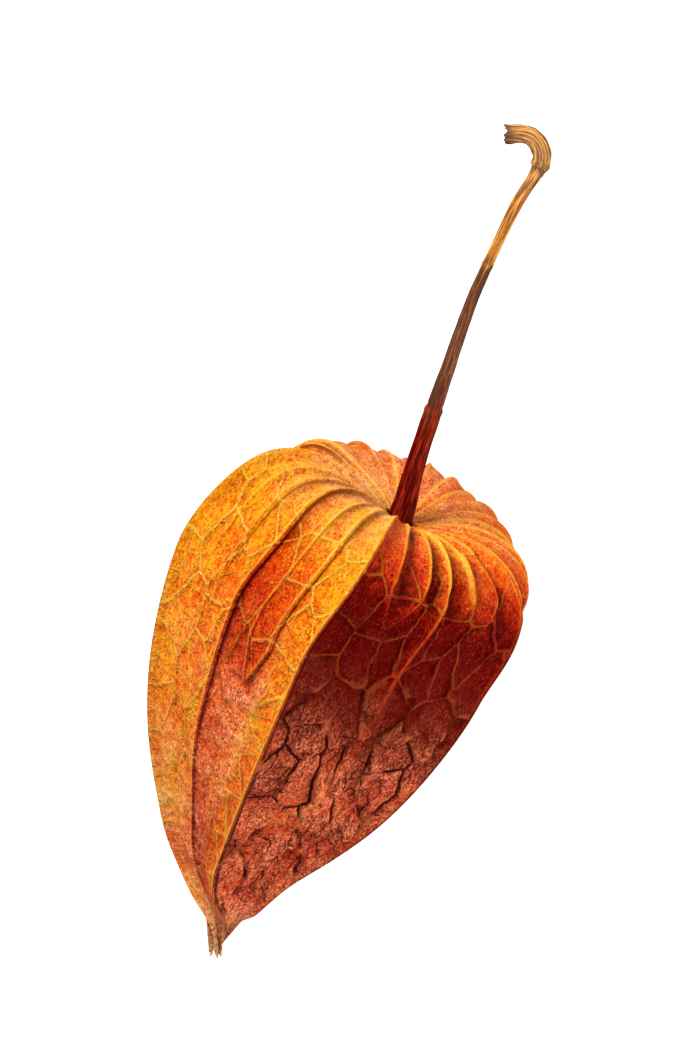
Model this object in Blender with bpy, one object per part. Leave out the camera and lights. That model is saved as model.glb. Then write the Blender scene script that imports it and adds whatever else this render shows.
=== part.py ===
"""A dried physalis fruit, picked with its stalk and lying on its side.

It is three pieces: the papery husk with its keels, ribs, pleats and raised net, the berry that the husk holds,
and the stalk with its ring scar, knee and torn end. Each is shaped upright, as millimetres about the husk's own
axis, where height runs from the tip to the stalk, and is then laid down on two keels. The scene is in metres,
+Z up, with the stalk towards +Y.
"""

import math

import bmesh
import bpy
import numpy as np
from mathutils import Matrix

MM = 0.001
SEED = 11

# Husk outline at a keel, from the mouth to the stalk: height above the tip, then radius
HUSK_OUTLINE = (
    (0.0, 1.5), (2.6, 1.75), (5.6, 3.0), (15.0, 8.6), (23.7, 13.8), (36.4, 17.9), (46.5, 19.1), (52.5, 18.7),
    (57.9, 16.6), (60.1, 13.2), (60.5, 9.8), (59.8, 6.4), (58.6, 3.8), (57.4, 1.75),
)
WALL = 0.7

# The body stands a little to one side of the line from its tip to its stalk, with one shoulder higher
BOW = 2.1
BOW_FROM_RADIUS, BOW_OVER_RADIUS = 1.75, 10.0
BOW_ENDS_FROM, BOW_ENDS_OVER = 45.0, 14.0
SHOULDER_SKEW = 0.1
SKEW_FROM, SKEW_OVER = 32.0, 25.0

# Cross-section: five keels with flatter panels between them, each with a lesser main rib down its middle
KEELS = 5
RIBS_PER_KEEL = 6
RIBS = KEELS * RIBS_PER_KEEL
RIB_ANGLE = 2 * math.pi / RIBS
PANEL_RADIUS_AT_TIP, PANEL_RADIUS_AT_BELLY, PANEL_RADIUS_AT_TOP = 0.74, 0.87, 0.95
UNDERSIDE_PANEL, UNDERSIDE_RADIUS = 2, 0.76
BELLY_FROM = 30.0
CROWN_FROM, CROWN_OVER = 54.0, 14.0

# Relief that stands out from the panels, and the length from the tip over which each kind grows to its height
KEEL_HEIGHT, KEEL_WIDTH, KEEL_GROWS_OVER, KEEL_LOST_AT_TOP = 1.2, 1.5, 12.0, 0.35
MAIN_RIB_HEIGHT, MAIN_RIB_WIDTH, MAIN_RIB_GROWS_OVER = 0.55, 1.0, 14.0
SIDE_RIB_HEIGHT, SIDE_RIB_WIDTH, SIDE_RIB_GROWS_OVER = 0.48, 0.9, 8.0
SIDE_RIB_ENDS = (17.0, 33.0)
RIB_ASTRAY, RIB_CROWDING = 0.12, 0.42

# Pleats, by length from the stalk: the ribs swell there, and fade where they meet the stalk
PLEAT_HEIGHT, SIDE_PLEAT_SHARE = 0.75, 0.85
PLEAT_AT, PLEAT_OVER = 14.0, 9.0
PLEAT_FADES_OVER, PLEAT_LEFT_AT_STALK = 5.0, 0.2

# Cross veins of the net, by rows of the mesh
NET_HEIGHT, NET_GROWS_OVER, NET_ENDS_AT, NET_ENDS_OVER = 0.4, 9.0, 6.0, 12.0
NET_FIRST_ROW, NET_GAP_ROWS = (5, 8), (3, 5)

# Unevenness of the dried panels as waves: height, waves round, waves along, and where each begins
CRUMPLE = ((0.16, 2, 0.11, 0.4), (0.13, 5, -0.23, 2.1), (0.10, 9, 0.31, 4.0))
CRUMPLE_GROWS_OVER, KEEL_STRAIGHTNESS = 14.0, 3.0

# The mouth: lobes between clefts at the main ribs, wrung round at the tip
CLEFTS = (5.5, 8.5, 5.0, 5.5, 6.0)
LOBE_TAPER, LOBE_CURVE = 0.35, 4
MOUTH_ROWS_LENGTH = 14.0
TWIST, TWIST_HEIGHT = math.radians(65), 8.0

# Mesh rows and columns of the husk
OUTER_ROWS, INNER_ROWS = 50, 9
COLUMNS_PER_STRIP = (0.0, 0.27, 0.73)

# Stalk route: sideways, height above the tip, and rise towards the viewer, then its radius there
STALK_ROUTE = (
    (0.0, 56.4, 0.0, 1.28), (0.0, 57.6, 0.0, 1.25), (-0.4, 60.8, 0.0, 1.10), (-1.3, 68.1, 0.0, 0.91),
    (-2.05, 76.5, -0.2, 0.69), (-2.65, 84.4, -0.6, 0.60), (-2.6, 90.5, -0.9, 0.58), (-2.35, 96.0, -1.3, 0.62),
    (-1.95, 98.8, -1.6, 0.74), (-2.05, 100.1, -1.8, 0.96), (-2.8, 101.2, -2.0, 0.98), (-4.0, 101.7, -2.2, 0.96),
    (-5.2, 101.5, -2.3, 0.92), (-6.3, 101.0, -2.3, 1.02),
)
STALK_SIDES, STALK_RINGS = 12, 72
STALK_FLUTES, FLUTE_DEPTH = 6, 0.09
RING_SCAR_AT, RING_SCAR_HEIGHT, SCAR_WIDTH = 70.4, 0.16, 0.8
SEAT_RADIUS, SEAT_THICKNESS, SEAT_TOP = 2.5, 0.8, 56.1
TEAR_DEPTH = 0.5

BERRY_RADIUS, BERRY_SQUASH = 6.8, 0.95
BERRY_GAP = 0.3
BERRY_PIT, BERRY_PIT_RADIUS = 0.5, 2.6
BERRY_SIDES, BERRY_RINGS = 28, 16

# Lying down: the axis's slope up to the stalk, and how far the weight presses the keels flat
REST_SLOPE = math.radians(4.0)
PRESSED_FLAT = 0.9

HUSK_COLOUR, BERRY_COLOUR, STALK_COLOUR = (0.72, 0.16, 0.03), (0.62, 0.10, 0.02), (0.26, 0.09, 0.03)


def smooth_curve(points, samples):
    """A natural cubic spline through the points, as samples evenly spaced along its chords."""
    p = np.array(points, float)
    chord = np.r_[0, np.cumsum(np.linalg.norm(np.diff(p, axis=0), axis=1))]
    step = np.diff(chord)[:, None]
    rows = np.eye(len(p))
    right = np.zeros_like(p)
    for i in range(1, len(p) - 1):
        rows[i, i - 1 : i + 2] = step[i - 1, 0], 2 * (step[i - 1, 0] + step[i, 0]), step[i, 0]
        right[i] = 6 * ((p[i + 1] - p[i]) / step[i] - (p[i] - p[i - 1]) / step[i - 1])
    bend = np.linalg.solve(rows, right)
    along = np.linspace(0, chord[-1], samples)
    i = np.clip(np.searchsorted(chord, along, side="right") - 1, 0, len(p) - 2)
    after, before = (chord[i + 1] - along)[:, None], (along - chord[i])[:, None]
    h = step[i]
    cubic = (bend[i] * after**3 + bend[i + 1] * before**3) / (6 * h)
    return cubic + (p[i] / h - bend[i] * h / 6) * after + (p[i + 1] / h - bend[i + 1] * h / 6) * before


def smooth_step(x):
    x = np.clip(x, 0, 1)
    return x * x * (3 - 2 * x)


class Outline:
    """The husk's outline as height and radius at a length along it, measured from the tip."""

    def __init__(self, points, samples=1200):
        curve = smooth_curve(points, samples)
        self.length = np.r_[0, np.cumsum(np.linalg.norm(np.diff(curve, axis=0), axis=1))]
        self.total = self.length[-1]
        slope = np.gradient(curve, self.length, axis=0)
        slope /= np.linalg.norm(slope, axis=1)[:, None]
        self.columns = (*curve.T, *slope.T)

    def at(self, length):
        """Height, radius, and the outward normal's parts across and along the axis."""
        height, radius, rise, spread = (np.interp(length, self.length, column) for column in self.columns)
        return height, radius, rise, -spread


def rib_angles(rng):
    """Thirty ribs: a keel at each sixth, a lesser main rib half way between, and side ribs a little astray."""
    astray = rng.uniform(-1, 1, RIBS) * RIB_ASTRAY
    astray[::RIBS_PER_KEEL] = 0
    return (np.arange(RIBS) + astray) * RIB_ANGLE


def sector_share(angle):
    """0 at a keel and 1 half way to the next."""
    return np.abs((angle / (2 * math.pi) * KEELS + 0.5) % 1 - 0.5) * 2


def panel_depth(angle, height, radius, crown):
    """How far a panel lies below the round through the keels, as a straight-sided cross-section."""
    panel = (angle / (2 * math.pi) * KEELS).astype(int) % KEELS
    full = np.where(panel == UNDERSIDE_PANEL, UNDERSIDE_RADIUS, PANEL_RADIUS_AT_BELLY)
    share = PANEL_RADIUS_AT_TIP + (full - PANEL_RADIUS_AT_TIP) * smooth_step(height / BELLY_FROM)
    share = share + (PANEL_RADIUS_AT_TOP - share) * crown
    half = math.pi / KEELS
    turn = sector_share(angle) * half
    straight = math.sin(half) / (np.sin(half - turn) + np.sin(turn) / share)
    return radius * (1 - straight)


def rib_relief(angle, angles, ends, length, radius, crown, total):
    """Height of the keels, main ribs, side ribs and pleats at each place."""
    relief = np.zeros_like(radius)
    pleats = PLEAT_HEIGHT * np.exp(-(((total - length - PLEAT_AT) / PLEAT_OVER) ** 2))
    room = RIB_CROWDING * RIB_ANGLE * radius
    fade = smooth_step((total - length) / PLEAT_FADES_OVER)
    fade = PLEAT_LEFT_AT_STALK + (1 - PLEAT_LEFT_AT_STALK) * fade
    for k, rib in enumerate(angles):
        off = np.abs((angle - rib + math.pi) % (2 * math.pi) - math.pi) * radius
        if k % RIBS_PER_KEEL == 0:
            tall = KEEL_HEIGHT * smooth_step(length / KEEL_GROWS_OVER) * (1 - KEEL_LOST_AT_TOP * crown)
            crest = tall * np.exp(-off / np.minimum(KEEL_WIDTH, room))
        elif k % RIBS_PER_KEEL == RIBS_PER_KEEL // 2:
            tall = np.maximum(MAIN_RIB_HEIGHT * smooth_step(length / MAIN_RIB_GROWS_OVER), pleats)
            crest = tall * np.clip(1 - off / np.minimum(MAIN_RIB_WIDTH, room), 0, 1)
        else:
            tall = SIDE_RIB_HEIGHT * smooth_step((length - ends[k]) / SIDE_RIB_GROWS_OVER)
            tall = np.maximum(tall, pleats * SIDE_PLEAT_SHARE)
            crest = tall * np.clip(1 - off / np.minimum(SIDE_RIB_WIDTH, room), 0, 1)
        relief = np.maximum(relief, crest * fade)
    return relief


def net_relief(rng, rows, columns, length, total):
    """Cross veins from rib to rib, on the rows of the mesh and staggered from strip to strip."""
    relief = np.zeros((rows, columns))
    inner = [i for i, share in enumerate(COLUMNS_PER_STRIP) if share > 0]
    for strip in range(RIBS):
        row = int(rng.integers(*NET_FIRST_ROW, endpoint=True))
        while row < rows - 2:
            slant = int(rng.integers(-1, 2))
            for place, i in enumerate(inner):
                r = row + slant * place
                column = strip * len(COLUMNS_PER_STRIP) + i
                grown = smooth_step(length[r, column] / NET_GROWS_OVER)
                left = smooth_step((total - length[r, column] - NET_ENDS_AT) / NET_ENDS_OVER)
                relief[r, column] = NET_HEIGHT * grown * left
            row += int(rng.integers(*NET_GAP_ROWS, endpoint=True))
    return relief


def crumple(angle, length):
    """Slow unevenness of the dried panels between the keels, which stay straight."""
    waves = sum(tall * np.sin(turns * angle + along * length + start) for tall, turns, along, start in CRUMPLE)
    off_keel = smooth_step(sector_share(angle) * KEEL_STRAIGHTNESS)
    return waves * off_keel * smooth_step(length / CRUMPLE_GROWS_OVER)


def placed(outline, angle, length, relief):
    """Points of the husk as sideways, height and rise, with relief along its outline's outward normal."""
    height, radius, across, along = outline.at(length)
    bow = BOW * smooth_step((radius - BOW_FROM_RADIUS) / BOW_OVER_RADIUS)
    bow *= 1 - smooth_step((height - BOW_ENDS_FROM) / BOW_ENDS_OVER)
    radius = radius + relief * across
    height = height + relief * along
    turn = angle + TWIST * np.clip(1 - height / TWIST_HEIGHT, 0, 1) ** 2
    sideways, rise = radius * np.sin(turn), radius * np.cos(turn)
    height = height - SHOULDER_SKEW * sideways * smooth_step((height - SKEW_FROM) / SKEW_OVER)
    sideways = sideways - bow
    return np.stack([sideways, height, rise], axis=-1)


def cleft_lengths(angle):
    """Length along the outline at which each column of the husk starts, from a lobe's tip to its clefts."""
    cleft = np.array(CLEFTS)[(angle / (2 * math.pi) * KEELS).astype(int) % KEELS]
    share = sector_share(angle)
    return cleft * (LOBE_TAPER * share + (1 - LOBE_TAPER) * share**LOBE_CURVE)


def husk_rings():
    """Rings of the outer face from the mouth up to the stalk, then of the inner face back down to the mouth."""
    rng = np.random.default_rng(SEED)
    outline = Outline(HUSK_OUTLINE)
    angles = rib_angles(rng)
    ends = rng.uniform(*SIDE_RIB_ENDS, RIBS)
    following = np.r_[angles[1:], angles[0] + 2 * math.pi]
    shares = np.array(COLUMNS_PER_STRIP)
    angle = (angles[:, None] + (following - angles)[:, None] * shares).ravel()
    mouth = cleft_lengths(angle % (2 * math.pi))

    def face(rows):
        length = np.linspace(0, outline.total, rows)[:, None]
        return length + mouth * np.clip(1 - length / MOUTH_ROWS_LENGTH, 0, 1)

    def depth(length):
        height, radius, across, along = outline.at(length)
        crown = smooth_step((length - CROWN_FROM) / CROWN_OVER)
        sunk = panel_depth(angle, height, radius, crown)
        uneven = crumple(angle, length) * smooth_step((outline.total - length) / CRUMPLE_GROWS_OVER)
        return radius, crown, uneven - sunk

    length = face(OUTER_ROWS)
    radius, crown, base = depth(length)
    ribs = rib_relief(angle, angles, ends, length, radius, crown, outline.total)
    net = net_relief(rng, OUTER_ROWS, len(angle), length, outline.total)
    outer = placed(outline, angle, length, base + np.maximum(ribs, net))
    length = face(INNER_ROWS)
    inner = placed(outline, angle, length, depth(length)[2] - WALL)
    return np.concatenate([outer, inner[::-1]])


def stalk_rings():
    """Rings from the berry's seat out along the stalk to its torn end."""
    rng = np.random.default_rng(SEED + 1)
    route = smooth_curve(STALK_ROUTE, STALK_RINGS)
    centre, radius = route[:, :3], route[:, 3].copy()
    radius += RING_SCAR_HEIGHT * np.exp(-(((centre[:, 1] - RING_SCAR_AT) / SCAR_WIDTH) ** 2))
    tangent = np.gradient(centre, axis=0)
    tangent /= np.linalg.norm(tangent, axis=1)[:, None]
    side = np.cross(tangent, (0.0, 0.0, 1.0))
    side /= np.linalg.norm(side, axis=1)[:, None]
    rise = np.cross(side, tangent)
    turn = np.arange(STALK_SIDES) * 2 * math.pi / STALK_SIDES
    fluted = 1 + FLUTE_DEPTH * np.cos(STALK_FLUTES * turn)
    out = side[:, None] * np.cos(turn)[:, None] + rise[:, None] * np.sin(turn)[:, None]
    rings = centre[:, None] + out * (radius[:, None] * fluted)[..., None]
    rings[-1] += tangent[-1] * rng.uniform(0, TEAR_DEPTH, STALK_SIDES)[:, None]
    flat = np.stack([np.cos(turn), np.zeros(STALK_SIDES), np.sin(turn)], axis=-1)
    seat = [(SEAT_TOP - SEAT_THICKNESS, 0.92), (SEAT_TOP - SEAT_THICKNESS / 2, 1.0), (SEAT_TOP, 0.8)]
    start = [flat * SEAT_RADIUS * share + (0, height, 0) for height, share in seat]
    return np.concatenate([start, rings])


def berry_rings():
    """Rings of latitude, with a shallow pit where the berry sits on the stalk."""
    top = SEAT_TOP - SEAT_THICKNESS - BERRY_GAP
    centre = top + BERRY_PIT * 0.4 - BERRY_RADIUS * BERRY_SQUASH
    turn = np.arange(BERRY_SIDES) * 2 * math.pi / BERRY_SIDES
    level = np.ones(BERRY_SIDES)
    rings = []
    for latitude in np.linspace(-math.pi / 2, math.pi / 2, BERRY_RINGS + 2)[1:-1]:
        radius = BERRY_RADIUS * math.cos(latitude)
        height = BERRY_RADIUS * BERRY_SQUASH * math.sin(latitude)
        if latitude > 0:
            height -= BERRY_PIT * math.exp(-((radius / BERRY_PIT_RADIUS) ** 2))
        rings.append(np.stack([radius * np.cos(turn), (centre + height) * level, radius * np.sin(turn)], axis=-1))
    return np.array(rings)


def skin(name, rings, material, looped):
    """One closed body over the rings: the last joins the first where looped, and else both ends are capped."""
    bm = bmesh.new()
    rows = [[bm.verts.new(point * MM) for point in ring] for ring in rings]
    pairs = list(zip(rows, rows[1:] + rows[:1])) if looped else list(zip(rows, rows[1:]))
    for lower, upper in pairs:
        for i, corner in enumerate(lower):
            j = (i + 1) % len(lower)
            bm.faces.new((corner, lower[j], upper[j], upper[i]))
    if not looped:
        for row in (rows[0], rows[-1]):
            middle = bm.verts.new(sum((v.co for v in row), row[0].co * 0) / len(row))
            for i, corner in enumerate(row):
                bm.faces.new((corner, row[(i + 1) % len(row)], middle))
    bmesh.ops.recalc_face_normals(bm, faces=bm.faces)
    if bm.calc_volume(signed=True) < 0:
        bmesh.ops.reverse_faces(bm, faces=bm.faces)
    mesh = bpy.data.meshes.new(name)
    bm.to_mesh(mesh)
    bm.free()
    mesh.materials.append(material)
    mesh.shade_smooth()
    obj = bpy.data.objects.new(name, mesh)
    bpy.context.collection.objects.link(obj)
    return obj


def finish(name, colour, roughness):
    material = bpy.data.materials.new(name)
    material.use_nodes = True
    shader = material.node_tree.nodes["Principled BSDF"]
    shader.inputs["Base Color"].default_value = (*colour, 1)
    shader.inputs["Roughness"].default_value = roughness
    shader.inputs["Metallic"].default_value = 0
    return material


def corners(objects):
    """Lowest and highest corner of the objects' meshes."""
    points = np.array([v.co for obj in objects for v in obj.data.vertices])
    return points.min(axis=0), points.max(axis=0)


def lay_down(objects, resting):
    """Tips all objects to the resting slope, presses the resting one flat where it stands, and centres them."""
    for obj in objects:
        obj.data.transform(Matrix.Rotation(REST_SLOPE, 4, "X"))
    lowest = corners([resting])[0][2] + PRESSED_FLAT * MM
    low, high = corners(objects)
    middle = (low + high) / 2
    for obj in objects:
        obj.data.transform(Matrix.Translation((-middle[0], -middle[1], -lowest)))
    for vertex in resting.data.vertices:
        vertex.co.z = max(vertex.co.z, 0)


def main():
    for obj in list(bpy.data.objects):
        bpy.data.objects.remove(obj, do_unlink=True)
    husk = skin("husk", husk_rings(), finish("dried husk", HUSK_COLOUR, 0.75), looped=True)
    berry = skin("berry", berry_rings(), finish("ripe berry", BERRY_COLOUR, 0.3), looped=False)
    stalk = skin("stalk", stalk_rings(), finish("dried stalk", STALK_COLOUR, 0.7), looped=False)
    lay_down([husk, berry, stalk], resting=husk)


main()
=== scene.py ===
"""A dried physalis fruit, modelled and finished over the fixed frame: papery husk, berry and stalk."""

import math

import bpy
import numpy as np
from bpy.props import FloatProperty, FloatVectorProperty, PointerProperty
from mathutils import Matrix, Vector


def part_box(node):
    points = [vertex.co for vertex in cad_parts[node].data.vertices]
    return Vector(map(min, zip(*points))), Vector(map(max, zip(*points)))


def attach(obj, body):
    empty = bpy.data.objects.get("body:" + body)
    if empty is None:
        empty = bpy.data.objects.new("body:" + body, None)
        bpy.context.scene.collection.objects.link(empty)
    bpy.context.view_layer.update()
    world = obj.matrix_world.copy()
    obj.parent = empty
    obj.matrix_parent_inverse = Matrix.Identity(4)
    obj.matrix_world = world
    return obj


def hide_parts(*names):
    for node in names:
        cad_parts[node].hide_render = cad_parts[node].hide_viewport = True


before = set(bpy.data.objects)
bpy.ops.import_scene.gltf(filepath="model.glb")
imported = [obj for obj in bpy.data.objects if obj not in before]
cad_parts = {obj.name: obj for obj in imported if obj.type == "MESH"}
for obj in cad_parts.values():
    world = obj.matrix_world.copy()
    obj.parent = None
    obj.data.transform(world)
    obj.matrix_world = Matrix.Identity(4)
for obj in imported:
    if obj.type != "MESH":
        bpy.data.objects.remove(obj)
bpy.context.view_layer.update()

bl_info = {
    "name": "Physalis Fruit",
    "version": (1, 0, 0),
    "blender": (4, 5, 0),
    "location": "View3D > Sidebar > Physalis",
    "description": "Models a dried physalis fruit in its papery husk, with its stalk",
    "category": "Add Mesh",
}

# Lengths are millimetres about the husk's own axis, with height measured from its tip towards the stalk.
# A pair for risen() is where something starts and over how much it grows, less than 0 where it falls.
MM = 0.001
SEED, PLEAT_SEED = 11, 16
SEAM_GAP = 1e-7
FULL_TURN = 2 * math.pi

# The husk's outline at a keel, from the mouth to the stalk: height, then radius
HUSK_OUTLINE = (
    (0.0, 1.5), (2.6, 1.75), (5.6, 3.6), (15.0, 9.3), (23.7, 13.9), (36.4, 17.9), (46.5, 19.1),
    (52.5, 18.7), (57.9, 16.6), (60.1, 13.2), (60.5, 9.8), (59.8, 6.4), (58.6, 3.8), (57.4, 1.75),
)
BOW, BOW_RADIUS, BOW_ENDS = 2.1, (1.75, 7.0), (45.0, 14.0)
SHOULDER_SKEW, SKEW = 0.1, (32.0, 25.0)

# Cross-section: five keels with flatter panels between them, and thirty ribs in all
KEELS, RIBS_PER_KEEL = 5, 6
RIBS = KEELS * RIBS_PER_KEEL
RIB_ANGLE = FULL_TURN / RIBS
PANEL_RADIUS_AT_TIP, PANEL_RADIUS_AT_BELLY, PANEL_RADIUS_AT_TOP = 0.74, 0.87, 0.95
UNDERSIDE_PANEL, UNDERSIDE_RADIUS = 2, 0.76
BELLY_FROM, CROWN = 30.0, (54.0, 14.0)
SIDE_RIB_ENDS, RIB_ASTRAY = (17.0, 33.0), 0.12

# Each rib's crest as height and width, and its step as height, rise before it, fall and hollow after it
KEEL_CREST, MAIN_CREST, SIDE_CREST = (0.42, 0.36), (0.30, 0.30), (0.24, 0.26)
KEEL_STEP, MAIN_STEP, SIDE_STEP = (0.5, 3.0, 0.28, 3.0), (0.45, 3.0, 0.25, 2.0), (0.45, 1.4, 0.22, 0.9)
STEP_RISEN, PAIR_FIRST_STEP = 0.55, 0.25
CREST_SHARPNESS, CREST_CROWDING, CREST_ENDS_OVER = 1.2, 0.3, 6.0
KEEL_GROWS_OVER, KEEL_LOST_AT_TOP = 12.0, 0.55
MAIN_GROWS_OVER, MAIN_LEFT_AT_TIP, MAIN_WHOLE = 14.0, 0.3, (20.0, 30.0)
SIDE_GROWS_OVER = 0.6
STEP_STARTS, STEP_ENDS = (8.0, 14.0), (6.0, 12.0)

# The pale vein line along each crest, set off towards its lit side so that it is partly painted highlight,
# and the painted shadow at the foot of its step, fainter at some ribs
RIB_REACH, LIT_SIDE_SHIFT = 3.0, 0.14
FOOT_WIDTH, FOOT_REACH, SIDE_FOOT_SHADE, FAINT_FOOT_SHADES, FOOT_ENDS = 0.24, 6.0, 0.55, {24: 0.15}, (3.0, 8.0)

# Side ribs run in pairs, which meet in a point further from the tip on the red side
PAIRS, PAIR_HELD_BACK, PAIR_HELD_BACK_MORE = ((1, 2), (4, 5)), 22.5, 12.0
PAIR_MEETS_OVER, PAIR_CURVE = 5.0, 0.8
TONGUE_HEIGHT, TONGUE_EDGE = 0.25, 0.3

# On the amber side two of them stay apart and fade out, the first one fainter
FADING_RIBS, FADING_OVER = {25: 0.35, 26: 1.0}, 14.0

# Pleats round the stalk, by length from it; those on one side end as round fingers
PLEAT_HEIGHT, PLEAT_SUNK, PLEAT_STARTS = 1.5, 0.3, (1.5, 8.0)
PLEAT_ENDS, PLEAT_ENDS_OVER = (10.0, 21.0), 8.0
PLEAT_FALL, PLEAT_LEFT_ELSEWHERE, PLEAT_UNEVEN = 0.24, 0.3, (0.6, 1.15)
FINGERS_START, FINGERS_END = (math.radians(4), 0.1), (math.radians(79), -0.3)
FINGER_ENDS_OVER, FINGER_TIP = 1.8, 3.0
# The valley behind each pleat: its width, and the painted shade in it, deeper among the fingers
VALLEY_WIDTH, VALLEY_PAINTED_SHADE, FINGER_VALLEY_PAINTED_SHADE = 0.17, 0.3, 0.25

# The shoulder is a little lower and rounder at the back: how much, at which angle and how far round
BACK_DIP = 1.4, math.radians(240), math.radians(66)
BACK_FILL = 0.75, math.radians(160), math.radians(100)
SIDE_FILL = 0.85, math.radians(235), math.radians(19)
BACK_STARTS, BACK_ENDS = (48.0, 10.0), (1.0, 7.0)

# Slow waves of the dried panels: height, turns round the husk, turn per length and start
CRUMPLE = ((0.16, 2, 0.11, 0.4), (0.13, 5, -0.23, 2.1), (0.10, 9, 0.31, 4.0))
CRUMPLE_GROWS_OVER, CRUMPLE_OFF_KEEL = 14.0, 1 / 3

# The mouth: lobes between clefts, wrung round at the tip
CLEFTS = (1.6, 6.0, 1.4, 1.8, 2.4)
LOBE_TAPER, LOBE_CURVE, MOUTH_ROWS_LENGTH = 0.3, 6, 14.0
TIP_LONGER, TIP_ASIDE = 1.2, 1.3
TWIST, TWIST_HEIGHT, PINCH, PINCH_HEIGHT = math.radians(120), 9.0, 0.4, 6.0
STALK_FIT, STALK_FIT_OVER = 0.22, 3.0

# Mesh rows and columns of the husk, and its inner face: thinner at the mouth, and its marks
COLUMNS_PER_STRIP, OUTER_ROWS, INNER_ROWS, COLUMN_CROWDING = 14, 222, 14, 0.35
INNER_SMOOTHING, INNER_AT_MOUTH, INNER_WHOLE = 3, 0.45, (5.0, 12.0)
INNER_MARKS = {"tint": 0.7, "tip": 0.5}

# Tint of the husk, from 0 for amber to 1 for deep red: degrees from the top keel, then near the tip, at the
# belly and on the shoulder
# The red side is partly darkened as painted shade turned from the light; the band just past 325 degrees is
# painted shadow beside the fold there, and the dip at 34.3 degrees with the rise at 35.2 degrees paints a
# lit edge and a shadow at the rib there
TINTS = (
    (0, 0.40, 0.50, 0.20), (0.8, 0.85, 1.10, 0.40), (8, 0.72, 1.12, 0.30), (30, 0.66, 1.05, 0.24),
    (34.3, 0.60, 0.80, 0.18), (35.2, 0.85, 1.18, 0.36), (44, 0.70, 1.10, 0.24), (71, 0.72, 1.0, 0.28),
    (76, 0.80, 0.95, 0.30), (110, 0.50, 0.60, 0.30), (180, 0.45, 0.50, 0.28), (250, 0.36, 0.28, 0.16),
    (288, 0.22, 0.14, 0.08), (310, 0.22, 0.26, 0.10), (324.5, 0.26, 0.24, 0.08), (325.4, 0.85, 0.92, 0.26),
    (328, 0.52, 0.60, 0.12), (345, 0.42, 0.50, 0.12), (350, 0.30, 0.24, 0.08), (359.4, 0.34, 0.20, 0.06),
    (360, 0.40, 0.50, 0.20),
)
TINT_BELLY, TINT_SHOULDER, LEFT_SHOULDER_LOWER = (26.0, 20.0), (55.0, 14.0), 5.0
# Pleats are painted paler where they stand higher, as painted light on their crests
PLEAT_PAINTED_LIGHT = 0.42

# Sides of the husk, in degrees from the top keel
RIGHT_SIDE = (-2.0, 4.0), (250.0, -60.0)
FINGER_SIDE = (-2.0, 4.0), (120.0, -40.0)
AMBER_SIDE = (280.0, 10.0), (326.0, -2.0)
LEFT_SIDE = 280.0, 20.0

# Where the skin is worn, by length from the tip, and the places that stay whole
WORN, WORN_EVENLY, WORN_ELSEWHERE = (54.0, -17.0), (12.0, 16.0), 0.75
EDGE_KEPT, EDGE, TONGUE_KEPT = 0.8, (3.2, -1.2), 0.9
AMBER_KEPT, AMBER_FROM = 0.72, (18.0, 16.0)
RIGHT_KEPT, RIGHT_KEPT_FROM = 0.72, (30.0, 18.0)
RIB_WORN, NET_WORN = 0.8, 0.7
CRACKED_ELSEWHERE, CRACKED_WHOLE, CRACKS_GROW_OVER, CRACKS_END = 0.2, 0.1, 9.0, (12.0, 14.0)
SHOULDER_FILM, FINGERS_CLEAR = (58.0, 20.0), 0.75
NET_GROWS_OVER, NET_ENDS = 9.0, (8.0, 12.0)
TIP_BROWNED = 9.0

# How far apart the panels' skins are laid out, so that no pattern runs on from one to the next
PANEL_APART = 60.0

# The skin's plates and cells, in metres as the nodes need them: sizes, shifts and shares
PLATE_SIZE, CELL_SIZE = 0.0058, 0.0023
PLATE_WARP, CELL_WARP = (0.0030, 0.00060), (0.0014, 0.00034)
PLATE_STRETCH, PLATE_LEAN = (1.25, 0.85), 0.3
CELL_TIP, TIPPED_WHERE_WHOLE = 0.4, 0.3

# Patterns of the skin, as the size of their features in metres
PATCHES, CLOUDS, LUMPS, CRUMBS = 0.0075, 0.0045, 0.0022, 0.0011
GRAINS, FLECKS, DOTS, STROKES = 0.00030, 0.00027, 0.00026, 0.00024
JITTER, GRAIN_STRETCH = (0.0004, 0.00022), 0.6

# Lines between plates and between cells, as the distances in metres at which they begin and are whole
RAISED_VEIN, SUNK_CRACK = (0.00035, 0.0), (0.00045, 0.0)
PLATE_EDGE, CELL_EDGE = (0.0, 0.0005), (0.0, 0.0004)
# The band beside the veins is painted shadow, and the band beside the cracks is painted highlight on their
# rims
VEIN, FINE_VEIN, PAINTED_SHADE_BY_VEIN = (0.00024, 0.00007), (0.00012, 0.00004), (0.0007, 0.00025)
CRACK, FINE_CRACK, PAINTED_LIGHT_BY_CRACK = (0.00026, 0.00010), (0.00014, 0.00005), (0.0007, 0.00035)

# The same for a rib's pale line, in millimetres, and for the painted shadow at its foot, in widths of it
RIB_LINE, FOOT_BEGINS, FOOT_STOPS = (0.24, 0.05), (0.25, 0.6), (2.1, 1.0)

# Fine heights of the skin, in metres; crumbs are taller where it is worn
PLATE_HEIGHT, CELL_HEIGHT, VEIN_HEIGHT = 0.0003, 0.00016, 0.00014
GRAIN_HEIGHT, CRUMB_HEIGHT = 0.0006, (0.0004, 0.0009)

# The other finishes' patterns: size and height of their features in metres
STREAKS, STREAK_HEIGHT, SPECKLES, SPECKLE_HEIGHT = 0.00020, 0.00022, 0.0003, 0.00006
BERRY_CLOUDS, BERRY_GRAINS, BERRY_GRAIN_HEIGHT = 0.003, 0.0006, 0.00008
FLOOR_GRAINS, FLOOR_GRAIN_HEIGHT = 0.004, 0.0001

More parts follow.
